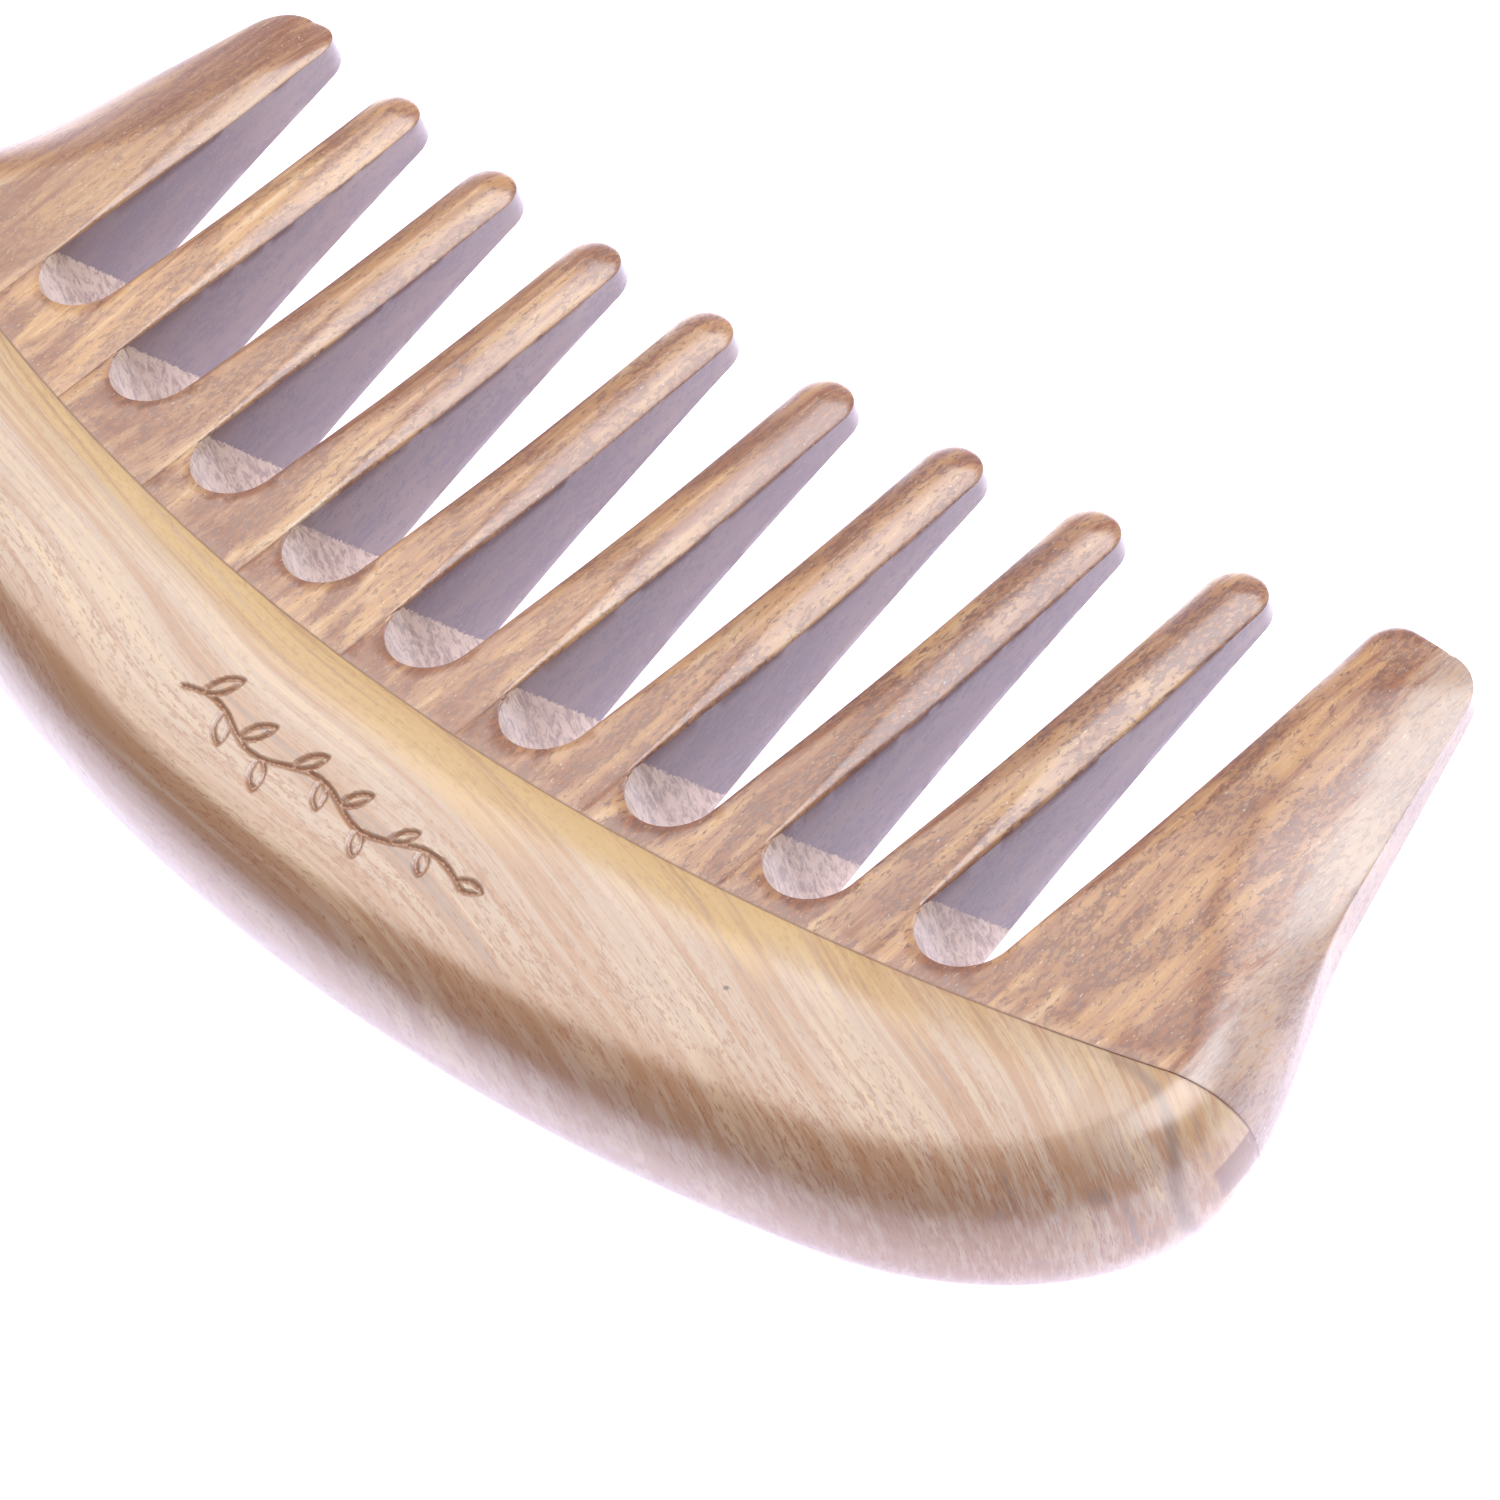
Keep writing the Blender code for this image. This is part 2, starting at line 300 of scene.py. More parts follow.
BACK_LEFT, GUARD_LEFT, MEET_LEFT = split_end(-1)
BACK_RIGHT, GUARD_RIGHT, MEET_RIGHT = split_end(1)
JOINT_XS = joint_xs(MEET_LEFT[0], MEET_RIGHT[0])


# ---------------------------------------------------------------- outlines of the pieces
# An outline is a closed anticlockwise list of (x, y, kind).
def tagged(points, kind):
    return [(x, y, kind) for x, y in points]


def joint_run(first, last, offset):
    """Points on the joint arc between two X, both included, moved in Y by the offset."""
    xs = [x for x in JOINT_XS if first - SAME_PLACE <= x <= last + SAME_PLACE]
    return [(x, float(arc_y(JOINT_ARC, x)) + offset) for x in xs]


def back_outline():
    xs = np.arange(-ARC_END_X, ARC_END_X, OUTER_SPACING)
    outline = tagged([(float(x), float(arc_y(OUTER_ARC, x))) for x in xs], "rim")
    outline += tagged(BACK_RIGHT, "rim")
    joint = joint_run(MEET_LEFT[0], MEET_RIGHT[0], -SEAM_GAP / 2)
    outline += tagged(reversed(joint), "joint")
    outline += tagged(reversed(BACK_LEFT), "rim")
    return outline


def stave_outline(index):
    first = index == 0
    last = index == TOOTH_COUNT - 1
    left = MEET_LEFT[0] if first else seam_x(index)
    right = MEET_RIGHT[0] if last else seam_x(index + 1)
    top = tooth_end(index)[2]
    shoulder = top - TIP_CORNER
    outline = tagged(joint_run(left, right, SEAM_GAP / 2), "joint")
    if last:
        outline += tagged(GUARD_RIGHT, "rim")
        right_top = GUARD_RIGHT[-1]
    else:
        root = slot_root(index + 1)
        wall = tooth_end(index)[1]
        foot = outline[-1][:2]
        feather_end = (right, root - FEATHER_DROP)
        outline += tagged(straight(foot, feather_end, SEAM_SPACING)[1:], "seam")
        outline += tagged([feather_end], "tooth")
        outline += tagged(straight((right, root), (wall, shoulder), WALL_SPACING), "tooth")
        outline += tagged(turn((wall - TIP_CORNER, shoulder), TIP_CORNER, 0, 90, CORNER_STEPS), "tooth")
        right_top = (wall - TIP_CORNER, top)
    if first:
        left_top = GUARD_LEFT[-1]
    else:
        wall = tooth_end(index)[0]
        left_top = (wall + TIP_CORNER, top)
    outline += tagged(straight(right_top, left_top, TIP_SPACING), "tooth")
    if first:
        outline += tagged(reversed(GUARD_LEFT), "rim")
        return outline
    middle = slot_middle(index)
    root = slot_root(index)
    outline += tagged(turn((wall + TIP_CORNER, shoulder), TIP_CORNER, 90, 180, CORNER_STEPS), "tooth")
    outline += tagged(straight((wall, shoulder), (middle + SLOT_RADIUS, root), WALL_SPACING), "tooth")
    outline += tagged(turn((middle, root), SLOT_RADIUS, 360, 180 + FEATHER_ANGLE, SLOT_STEPS), "slot")
    foot = (left + SEAM_GAP, float(arc_y(JOINT_ARC, left)))
    feather_end = (left + SEAM_GAP, root - FEATHER_DROP)
    outline += tagged(straight(feather_end, foot, SEAM_SPACING), "seam")
    return outline


def rounding(kind, x, y):
    """Width, depth share and power of the edge rounding at a point of the outline."""
    if kind == "rim":
        share = smooth_step(HEEL_ROUND_Y, GUARD_ROUND_Y, y)
        first, last, shares = HEEL_ROUND, GUARD_ROUND, (share, share, share)
    elif kind == "tooth":
        along = (y - arc_y(SLOT_ARC, x) - SLOT_RADIUS) / TOOTH_LENGTH
        widening = smooth_step(WIDENING_FROM, WIDENING_TO, along)
        first, last, shares = ROOT_ROUND, TIP_ROUND, (widening, np.clip(along, 0.0, 1.0), widening)
    else:
        first, last, shares = SLOT_ROUND, SLOT_ROUND, (0.0, 0.0, 0.0)
    return [float(low + (high - low) * share) for low, high, share in zip(first, last, shares)]


# ---------------------------------------------------------------- heights
def flat_half_height(x, y):
    """Half thickness without edge rounding: crown, soft crest, bevel, then teeth thinning to the tips."""
    depth = below_joint(x, y)
    rise = (HALF_CROWN - HALF_JOINT) / CREST_INSET
    soft = CREST_SOFT + CREST_SOFT_END * smooth_step(CREST_SOFT_FROM, CREST_SOFT_TO, np.abs(x))
    slope_part = HALF_JOINT + rise * depth
    crest = np.clip(CREST_INSET - depth, -EXPONENT_LIMIT, EXPONENT_LIMIT)
    back = slope_part - rise * soft * np.log1p(np.exp(-crest / soft))
    slot_gap = SLOT_ARC[1] - JOINT_ARC[1]
    shoulder = HALF_JOINT + (HALF_SLOT - HALF_JOINT) * np.clip(-depth / slot_gap, 0, 1)
    thinning = (HALF_SLOT - HALF_TIP) * np.clip((-depth - slot_gap) / TOOTH_LENGTH, 0, 1)
    return np.where(depth > 0, back, shoulder - thinning)


def hand_wear(points):
    """Slight unevenness left by sanding, always inwards."""
    wear = np.zeros(len(points))
    for depth, size, place in HAND_WEAR:
        waves = [noise.noise(Vector((x / size, y / size, place))) for x, y in points]
        wear += depth * (1 + np.array(waves))
    return wear


def nearest_on_segments(points, starts, ends):
    """For each point the distance to the nearest segment, its number, and the share along it."""
    best = np.zeros(len(points))
    which = np.zeros(len(points), dtype=int)
    share = np.zeros(len(points))
    step = ends - starts
    length = np.maximum((step**2).sum(1), 1e-12)
    for low in range(0, len(points), BATCH):
        part = points[low:low + BATCH]
        offset = part[:, None, :] - starts[None, :, :]
        along = np.clip((offset * step[None]).sum(2) / length[None], 0, 1)
        gap = offset - along[:, :, None] * step[None]
        distance = np.sqrt((gap**2).sum(2))
        chosen = distance.argmin(1)
        rows = np.arange(len(part))
        best[low:low + BATCH] = distance[rows, chosen]
        which[low:low + BATCH] = chosen
        share[low:low + BATCH] = along[rows, chosen]
    return best, which, share


class Plan:
    """The outline of one piece with what is needed to round its edges."""

    def __init__(self, outline):
        self.kinds = [kind for _, _, kind in outline]
        self.corners = np.array([(x, y) for x, y, _ in outline])
        self.ends = np.roll(self.corners, -1, axis=0)
        following = np.roll(np.array(self.kinds, dtype=object), -1)
        # The short edge from the joint's last corner to the rim is rounded like the rim
        self.edges = ["rim" if pair == ("joint", "rim") else pair[0] for pair in zip(self.kinds, following)]
        self.rounds = np.array([rounding(edge, x, y) for edge, (x, y) in zip(self.edges, self.corners)])
        self.glued = np.isin(self.kinds, ("joint", "seam")) & np.isin(list(following), ("joint", "seam"))
        self.inward = self.find_inward()

    def find_inward(self):
        """Unit directions from each corner into the piece."""
        step = self.ends - self.corners
        step /= np.maximum(np.linalg.norm(step, axis=1), 1e-9)[:, None]
        left = np.stack([-step[:, 1], step[:, 0]], axis=1)
        both = left + np.roll(left, 1, axis=0)
        return both / np.maximum(np.linalg.norm(both, axis=1), 1e-6)[:, None]

    def contains(self, points):
        x, y = points[:, 0][:, None], points[:, 1][:, None]
        (x1, y1), (x2, y2) = self.corners.T, self.ends.T
        with np.errstate(divide="ignore", invalid="ignore"):
            crossing = (x2 - x1) * (y - y1) / (y2 - y1) + x1
        hit = ((y1 > y) != (y2 > y)) & (x < crossing)
        return hit.sum(1) % 2 == 1

    def edge_drop(self, points, height, group):
        """How far the rounding of one group of edges lowers the surface."""
        chosen = np.array([edge in group for edge in self.edges]) & ~self.glued
        if not chosen.any():
            return np.zeros(len(points))
        distance, which, share = nearest_on_segments(points, self.corners[chosen], self.ends[chosen])
        own = np.flatnonzero(chosen)[which]
        following = (own + 1) % len(self.corners)
        following = np.where(chosen[following], following, own)
        mixed = self.rounds[own] + (self.rounds[following] - self.rounds[own]) * share[:, None]
        width, depth, power = mixed.T
        outward = 1 - np.clip(distance / width, 0, 1)
        return depth * height * (1 - (1 - outward**power) ** (1 / power))

    def half_height(self, points):
        """Half thickness with every edge rounded and every seam eased, and how much glue shows."""
        height = flat_half_height(points[:, 0], points[:, 1]) - hand_wear(points)
        rim = self.edge_drop(points, height, ("rim",))
        tooth = self.edge_drop(points, height, ("tooth", "slot"))
        height = np.maximum(height - np.cbrt(rim**3 + tooth**3), LEAST_WALL)
        starts, ends = self.corners[self.glued], self.ends[self.glued]
        seam_distance, nearest, _ = nearest_on_segments(points, starts, ends)
        height = height - SEAM_ROUND * np.clip(1 - seam_distance / SEAM_ROUND, 0, 1)
        at_joint = np.array([self.kinds[n] == "joint" for n in np.flatnonzero(self.glued)[nearest]])
        glue = np.clip(1 - seam_distance / GLUE_REACH, 0, 1) * np.where(at_joint, 1.0, SEAM_GLUE_SHARE)
        return height, glue

    def ring_points(self):
        """Points on the rounded edges, on lines square to the outline."""
        points = []
        for corner, inward, (width, _, _), kind in zip(self.corners, self.inward, self.rounds, self.kinds):
            steps = RING_STEPS.get(kind, 1)
            for step in range(1, steps + 1):
                inset = width * (1 - math.cos(math.pi / 2 * step / steps))
                points.append((corner + inward * inset, inset))
        places = np.array([point for point, _ in points])
        insets = np.array([inset for _, inset in points])
        distance, _, _ = nearest_on_segments(places, self.corners, self.ends)
        keep = self.contains(places) & (distance >= np.minimum(RING_TOLERANCE * insets, RING_CLEARANCE))
        return places[keep]

    def lattice_points(self, spacing):
        """A triangular lattice over the outline's box."""
        low, high = self.corners.min(0), self.corners.max(0)
        rows = np.arange(low[1], high[1], spacing * ROW_SHARE)
        points = []
        for number, y in enumerate(rows):
            xs = np.arange(low[0] + (number % 2) * spacing / 2, high[0], spacing)
            points += [(x, y) for x in xs]
        return np.array(points)

    def spaced(self, points, others, gap):
        """The points inside the piece that keep a gap from its outline and from other points."""
        points = points[self.contains(points)]
        distance, _, _ = nearest_on_segments(points, self.corners, self.ends)
        points = points[distance > gap]
        taken = {}
        for x, y in others:
            taken.setdefault((math.floor(x / gap), math.floor(y / gap)), []).append((x, y))
        kept = []
        for x, y in points:
            column, row = math.floor(x / gap), math.floor(y / gap)
            near = (
                place
                for dx in (-1, 0, 1)
                for dy in (-1, 0, 1)
                for place in taken.get((column + dx, row + dy), ())
            )
            if all(math.dist((x, y), place) > gap for place in near):
                kept.append((x, y))
        return np.array(kept)


# ---------------------------------------------------------------- carved sprig on the crown
SPRIG_LEFT, SPRIG_RIGHT = -11.5, 19.5
SPRIG_DEPTH_BELOW_JOINT = 9.4
SPRIG_WAVES = 2.5
SPRIG_SWING = 0.75
STEM_STEPS = 120
LEAF_LENGTH, LEAF_WIDTH = 3.1, 0.62
LEAF_COUNT = 10
LEAF_STEPS = 9
LEAF_FULLNESS = 0.8
LEAF_SHRINK = 0.035
LEAF_ANGLE = 52
FIRST_LEAF, LEAF_EVERY = 0.06, 0.09
END_LEAF_ANGLE = 8
END_LEAF_SIZE = 0.75
STROKE_HALF = 0.24
STROKE_DEPTH = 0.20
STROKE_FULLNESS = 0.7


def sprig_point(share):
    """The point at a share of the stem's length."""
    x = SPRIG_LEFT + (SPRIG_RIGHT - SPRIG_LEFT) * share
    swing = SPRIG_SWING * math.sin(2 * math.pi * SPRIG_WAVES * share)
    return x, float(arc_y(JOINT_ARC, x)) - SPRIG_DEPTH_BELOW_JOINT + swing


def leaf(base, angle, length, width):
    """Closed pointed oval that starts at its base."""
    outline = []
    for side in (1, -1):
        for step in range(LEAF_STEPS + 1):
            share = step / LEAF_STEPS if side > 0 else 1 - step / LEAF_STEPS
            along = length * share
            across = 0.0
            if 0 < share < 1:
                across = side * width * math.sin(math.pi * share) ** LEAF_FULLNESS
            outline.append((
                base[0] + along * math.cos(angle) - across * math.sin(angle),
                base[1] + along * math.sin(angle) + across * math.cos(angle),
            ))
    return outline


def sprig_strokes():
    """The stem, its leaves on alternate sides, and one leaf at its end."""
    strokes = [[sprig_point(step / STEM_STEPS) for step in range(STEM_STEPS + 1)]]
    for number in range(LEAF_COUNT):
        base = sprig_point(FIRST_LEAF + LEAF_EVERY * number)
        side = 1 if number % 2 == 0 else -1
        size = 1.0 - LEAF_SHRINK * number
        strokes.append(leaf(base, side * math.radians(LEAF_ANGLE), LEAF_LENGTH * size, LEAF_WIDTH * size))
    end_angle = math.radians(END_LEAF_ANGLE)
    strokes.append(leaf(sprig_point(1.0), end_angle, LEAF_LENGTH * END_LEAF_SIZE, LEAF_WIDTH * END_LEAF_SIZE))
    return strokes


def stroke_segments():
    starts, ends = [], []
    for stroke in sprig_strokes():
        starts += stroke[:-1]
        ends += stroke[1:]
    return np.array(starts), np.array(ends)


def carved_share(points):
    """1 in the middle of a carved stroke, 0 outside it."""
    starts, ends = stroke_segments()
    distance, _, _ = nearest_on_segments(points, starts, ends)
    return np.clip(1 - distance / STROKE_HALF, 0, 1) ** STROKE_FULLNESS


# ---------------------------------------------------------------- meshes
def fill_plan(plan, carved):
    """Triangles that fill the outline. The outline's own corners come first."""
    extra = rings = plan.ring_points()
    if carved:
        starts, ends = stroke_segments()
        fine = plan.lattice_points(CARVED_LATTICE)
        low, high = starts.min(0) - CARVED_BORDER, starts.max(0) + CARVED_BORDER
        fine = fine[((fine > low) & (fine < high)).all(1)]
        distance, _, _ = nearest_on_segments(fine, starts, ends)
        extra = np.vstack([rings, fine[distance < STROKE_HALF + CARVED_MARGIN]])
    lattice = plan.spaced(plan.lattice_points(LATTICE), extra, LATTICE * LATTICE_CLEARANCE)
    places = np.vstack([plan.corners, extra, lattice])
    loop = list(range(len(plan.corners)))
    found = delaunay_2d_cdt([Vector(place) for place in places], [], [loop], 1, MERGE_DISTANCE, True)
    new_places, _, faces, old_numbers = found[:4]
    first_use = {}
    for number, old in enumerate(old_numbers):
        for original in old:
            first_use[original] = number
    border = [first_use[number] for number in loop]
    filled = np.array([tuple(place) for place in new_places])
    triangles = np.array([tuple(face) for face in faces])
    inside = plan.contains(filled[triangles].mean(axis=1))
    return filled, [tuple(int(corner) for corner in face) for face in triangles[inside]], border


def build_mesh(name, plan, carved=False, lip=None):
    """A closed mesh from the filled plan: upper face, lower face and the wall between them.

    The lip is the X and Y of the root of the slot on the piece's right.
    """
    places, faces, border = fill_plan(plan, carved)
    height, glue_share = plan.half_height(places)
    carve = carved_share(places) if carved else np.zeros(len(places))
    upper = MIDDLE + height - STROKE_DEPTH * carve
    lower = MIDDLE - height
    count = len(places)
    points = [(x, y, z) for (x, y), z in zip(places, upper)]
    points += [(x, y, z) for (x, y), z in zip(places, lower)]
    polygons = list(faces)
    polygons += [tuple(count + corner for corner in reversed(face)) for face in faces]
    rows = [[count + corner for corner in border]]
    for row in range(1, WALL_ROWS):
        share = row / WALL_ROWS
        rows.append([])
        for corner in border:
            rows[-1].append(len(points))
            x, y = places[corner]
            points.append((x, y, lower[corner] + share * (upper[corner] - lower[corner])))
    rows.append(border)
    for below, above in zip(rows, rows[1:]):
        for place in range(len(border)):
            after = (place + 1) % len(border)
            polygons.append((below[place], below[after], above[after], above[place]))
    mesh = bpy.data.meshes.new(name)
    mesh.from_pydata([(x * MM, y * MM, z * MM) for x, y, z in points], [], polygons)
    mesh.validate()
    mesh.shade_smooth()
    mesh.set_sharp_from_angle(angle=SHARP_ANGLE)
    add_marks(mesh, plan, points, rows, glue_share, carve, lip)
    return mesh


def add_marks(mesh, plan, points, rows, glue_share, carve, lip):
    """Vertex values that the materials read: glue line, carving, slot bottom, slot wall, where painted shade
    and lavender bounce light go, and feather edge.

    The rows run round the wall, from the lower face up to the upper face.
    """
    total, count = len(points), len(carve)
    glue = np.zeros(total)
    glue[:count] = glue[count:2 * count] = glue_share
    carving = np.zeros(total)
    carving[:count] = carve
    bottom, wall, feather = np.zeros(total), np.zeros(total), np.ones(total)
    for row in rows:
        for place, corner in enumerate(row):
            kind = plan.kinds[place]
            either = (plan.kinds[place - 1], kind)
            bottom[corner] = "slot" in either
            wall[corner] = "slot" in either or "tooth" in either
            x, y, z = points[corner]
            if lip and kind == "tooth" and abs(x - lip[0]) < FEATHER_REACH:
                top = points[rows[-1][place]][2]
                feather[corner] = (y - lip[1]) / FEATHER_SCALE - FEATHER_SLANT * (top - z)
    marks = {"glue": glue, "carving": carving, "bottom": bottom, "wall": wall, "feather": feather}
    for name, values in marks.items():
        layer = mesh.attributes.new(name, "FLOAT", "POINT")
        layer.data.foreach_set("value", values.astype(np.float32))


# ---------------------------------------------------------------- material building blocks
class Graph:
    """A material's node tree with short calls for the nodes that it needs."""

    def __init__(self, name):
        self.material = bpy.data.materials.new(name)
        self.material.use_nodes = True
        self.tree = self.material.node_tree
        self.shader = self.tree.nodes["Principled BSDF"]
        coordinates = self.tree.nodes.new("ShaderNodeTexCoord")
        self.point = self.scale(coordinates.outputs["Object"], (1 / MM, 1 / MM, 1 / MM))

    def feed(self, socket, value):
        """Link an output to a socket, or set the socket to a number, vector or colour."""
        if isinstance(value, bpy.types.NodeSocket):
            self.tree.links.new(value, socket)
        elif isinstance(value, tuple) and len(value) == 3 and len(socket.default_value) == 4:
            socket.default_value = (*value, 1.0)
        else:
            socket.default_value = value

    def math(self, operation, *values):
        node = self.tree.nodes.new("ShaderNodeMath")
        node.operation = operation
        for socket, value in zip(node.inputs, values):
            self.feed(socket, value)
        return node.outputs[0]

    def vector(self, operation, *values, output="Vector"):
        node = self.tree.nodes.new("ShaderNodeVectorMath")
        node.operation = operation
        for socket, value in zip(node.inputs, values):
            self.feed(socket, value)
        return node.outputs[output]

    def scale(self, vector, sizes):
        return self.vector("MULTIPLY", vector, sizes)

    def split(self, vector):
        node = self.tree.nodes.new("ShaderNodeSeparateXYZ")
        self.feed(node.inputs[0], vector)
        return node.outputs

    def join(self, x, y, z):
        node = self.tree.nodes.new("ShaderNodeCombineXYZ")
        for socket, value in zip(node.inputs, (x, y, z)):
            self.feed(socket, value)
        return node.outputs[0]

    def noise(self, vector, sizes, detail=2.0, roughness=0.55, distortion=0.0):
        """Noise whose features are about as big as the sizes, in mm."""
        node = self.tree.nodes.new("ShaderNodeTexNoise")
        self.feed(node.inputs["Vector"], self.scale(vector, tuple(1 / size for size in sizes)))
        node.inputs["Scale"].default_value = 1.0
        node.inputs["Detail"].default_value = detail
        node.inputs["Roughness"].default_value = roughness
        node.inputs["Distortion"].default_value = distortion
        return node.outputs["Fac"]

    def step(self, value, low, high, to_low=0.0, to_high=1.0):
        """A smooth step: to_low where the value is at low, to_high where it is at high."""
        node = self.tree.nodes.new("ShaderNodeMapRange")
        node.interpolation_type = "SMOOTHSTEP"
        for number, setting in enumerate((value, low, high, to_low, to_high)):
            self.feed(node.inputs[number], setting)
        return node.outputs[0]

    def blend(self, share, first, second):
        """Mix of two colours; a share of 1 gives the second."""
        node = self.tree.nodes.new("ShaderNodeMix")
        node.data_type = "RGBA"
        self.feed(node.inputs[0], share)
        self.feed(node.inputs[6], first)
        self.feed(node.inputs[7], second)
        return node.outputs[2]

    def ramp(self, value, stops):
        node = self.tree.nodes.new("ShaderNodeValToRGB")
        self.feed(node.inputs[0], value)
        elements = node.color_ramp.elements
        while len(elements) < len(stops):
            elements.new(0.5)
        for element, (position, colour) in zip(elements, stops):
            element.position = position
            element.color = (*colour, 1.0)
        return node.outputs[0]

    def mark(self, name):
        """A value that add_marks left on the mesh."""
        node = self.tree.nodes.new("ShaderNodeAttribute")
        node.attribute_name = name
        return node.outputs["Fac"]

    def bump(self, height, distance_mm, strength, onto=None):
        node = self.tree.nodes.new("ShaderNodeBump")
        node.inputs["Strength"].default_value = strength
        node.inputs["Distance"].default_value = distance_mm * MM
        self.feed(node.inputs["Height"], height)
        if onto is not None:
            self.feed(node.inputs["Normal"], onto)
        return node.outputs[0]

    def weigh(self, *pairs):
        """Sum of values, each times its weight."""
        total = 0.0
        for value, weight in pairs:
            total = self.math("ADD", total, self.math("MULTIPLY", value, weight))
        return total

    def blotch(self, point, place, angle, length, width, share):
        """Soft oval mask in plan."""
        node = self.tree.nodes.new("ShaderNodeVectorRotate")
        node.rotation_type = "Z_AXIS"
        self.feed(node.inputs["Vector"], self.vector("SUBTRACT", point, place))
        node.inputs["Angle"].default_value = -math.radians(angle)
        scaled = self.scale(node.outputs[0], (1 / length, 1 / width, 0.0))
        gap = self.vector("LENGTH", scaled, output="Value")
        return self.step(gap, 1.0, 0.35, 0.0, share)

    def joint_depth(self):
        """Distance in plan from the joint arc towards the back; negative on the teeth's side."""
        axes = self.split(self.point)
        centre = (JOINT_ARC[0], JOINT_ARC[1] + JOINT_ARC[2], 0.0)
        gap = self.vector("SUBTRACT", self.join(axes[0], axes[1], 0.0), centre)
        return self.math("SUBTRACT", self.vector("LENGTH", gap, output="Value"), JOINT_ARC[2])

    def wobble(self, noise, swing):
        """A noise turned into a value on both sides of zero."""
        return self.math("MULTIPLY", self.math("SUBTRACT", noise, 0.5), swing)


# ---------------------------------------------------------------- wood colours, as linear light
GLUE = (0.15, 0.055, 0.028)
BURNT = (0.27, 0.115, 0.050)
RUSSET = (0.26, 0.095, 0.038)
TAN = (0.38, 0.205, 0.105)
ORANGE = (0.49, 0.270, 0.100)
CREAM = (0.54, 0.390, 0.240)
REDDISH = (0.32, 0.120, 0.058)
FLECK_RED = (0.165, 0.062, 0.035)
FLECK_GREY = (0.170, 0.115, 0.105)
FIBRE_GLINT = (0.66, 0.560, 0.440)
ROUGH_PALE = (0.62, 0.480, 0.360)
ROUGH_DARK = (0.34, 0.235, 0.180)
# Painted shade on the side walls, tinted lavender by the light that the floor bounces up
PAINTED_WALL_SHADE = (0.146, 0.112, 0.146)
GOLD = (0.53, 0.350, 0.140)
PINK_CREAM = (0.42, 0.305, 0.225)
BAND_BROWN = (0.33, 0.170, 0.080)
GREY_LINE = (0.25, 0.175, 0.142)
STREAK_BROWN = (0.20, 0.125, 0.090)
TONGUE_END = (0.21, 0.105, 0.070)
# Pale zone on the right guard: partly sapwood, partly painted sheen
SAPWOOD_AND_SHEEN = (0.43, 0.350, 0.300)

# Edge of the pale zone on the right guard, paler sapwood with a painted sheen: the lean of its square, and
# where it starts and is full
SAPWOOD_SHEEN_LEAN = math.radians(18.0)
SAPWOOD_SHEEN_EDGE = (66.9, 68.9)

# Colours along the tone of the wood
STAVE_RAMP = [(0.40, RUSSET), (0.47, TAN), (0.54, ORANGE), (0.64, CREAM)]
BACK_RAMP = [(0.37, GREY_LINE), (0.45, TAN), (0.52, PINK_CREAM), (0.62, CREAM)]

# Sizes of a stave's wood features in mm: across, along the tooth, and through
STAVE_SWAY = (11.0, 22.0, 11.0)
STAVE_STREAKS = (0.75, 17.0, 2.0)
STAVE_BROAD = (4.2, 26.0, 6.0)
STAVE_FIBRES = (0.15, 3.0, 0.3)
STAVE_CROWD = (2.6, 9.0, 3.0)
STAVE_FLECKS = (0.34, 0.85, 0.45)
STAVE_GREY_FLECKS = (0.42, 0.90, 0.5)
STAVE_GLINTS = (0.13, 0.45, 0.2)
ROUGH_GRAIN = (0.45, 0.45, 1.5)
TORN_EDGE = (0.5, 0.35, 0.28)

# Sizes of the back's wood features in mm: along the comb, across, and through
BACK_SWEEP = (46.0, 26.0, 30.0)
BACK_BROAD = (70.0, 3.2, 5.0)
BACK_LINES = (34.0, 0.60, 2.0)
BACK_FIBRES = (11.0, 0.15, 2.5)
BACK_FLECKS = (0.90, 0.20, 1.2)
BACK_CROWD = (16.0, 2.4, 4.0)

# How far the noise moves an edge: in mm, and for the torn edge in the units of the feather mark
BACK_SWAY = 8.0
BAND_WOBBLE = 9.0
SAPWOOD_SHEEN_WOBBLE = 5.0
TORN_WOBBLE = 0.10

# How the back's grain leaves the joint arc: along the comb, and more towards the right end
BACK_DRIFT = -0.10
BACK_BEND = -0.0042

# Bands of colour on the back, by distance from the joint, and where the gold fades out in X
GOLD_BAND = (5.2, 1.8)
BROWN_BAND = (11.0, 14.0)
GOLD_FADE_X = (40.0, 66.0)

# How strongly things cover the wood, and how deep they go into it, in mm
GLUE_STRENGTH = 0.70
# How strongly the painted wall shade covers the wood
PAINTED_WALL_SHADE_STRENGTH = 0.74
GLINT_STRENGTH = 0.55
TONGUE_STRENGTH = 0.85
CARVING_STRENGTH = 0.85
FIBRE_RELIEF = 0.020
PORE_RELIEF = 0.030
TEAR_RELIEF = 0.10

# Per stave, from the left: how light, how red, and how much dark flecking
STAVE_TONES = [
    (0.88, 0.45, 0.55), (1.06, 0.10, 0.60), (0.95, 0.40, 0.75), (0.98, 0.25, 0.80), (1.00, 0.30, 0.75),
    (0.97, 0.50, 0.70), (0.94, 0.55, 0.85), (0.95, 0.20, 1.00), (0.93, 0.15, 1.00), (1.00, 0.40, 0.85),
]

# Place, angle in degrees, half length, half width, strength and colour of the dark marks on the back
DARK_MARKS = [
    ((42.6, -18.54, 0.0), 20.0, 0.34, 0.26, 0.9, (0.06, 0.03, 0.02)),
    ((71.0, -12.6, 0.0), -62.0, 6.0, 2.2, 0.40, BAND_BROWN),
]

# Curved growth streak at the right end: part of a ring, and the soft oval that limits it
STREAK_CENTRE = (70.0, -14.5, 0.0)
STREAK_RADIUS = 7.6
STREAK_HALF = 0.75
STREAK_PLACE = (74.0, -9.0, 0.0)
STREAK_SPREAD = 8.0
STREAK_STRENGTH = 0.7


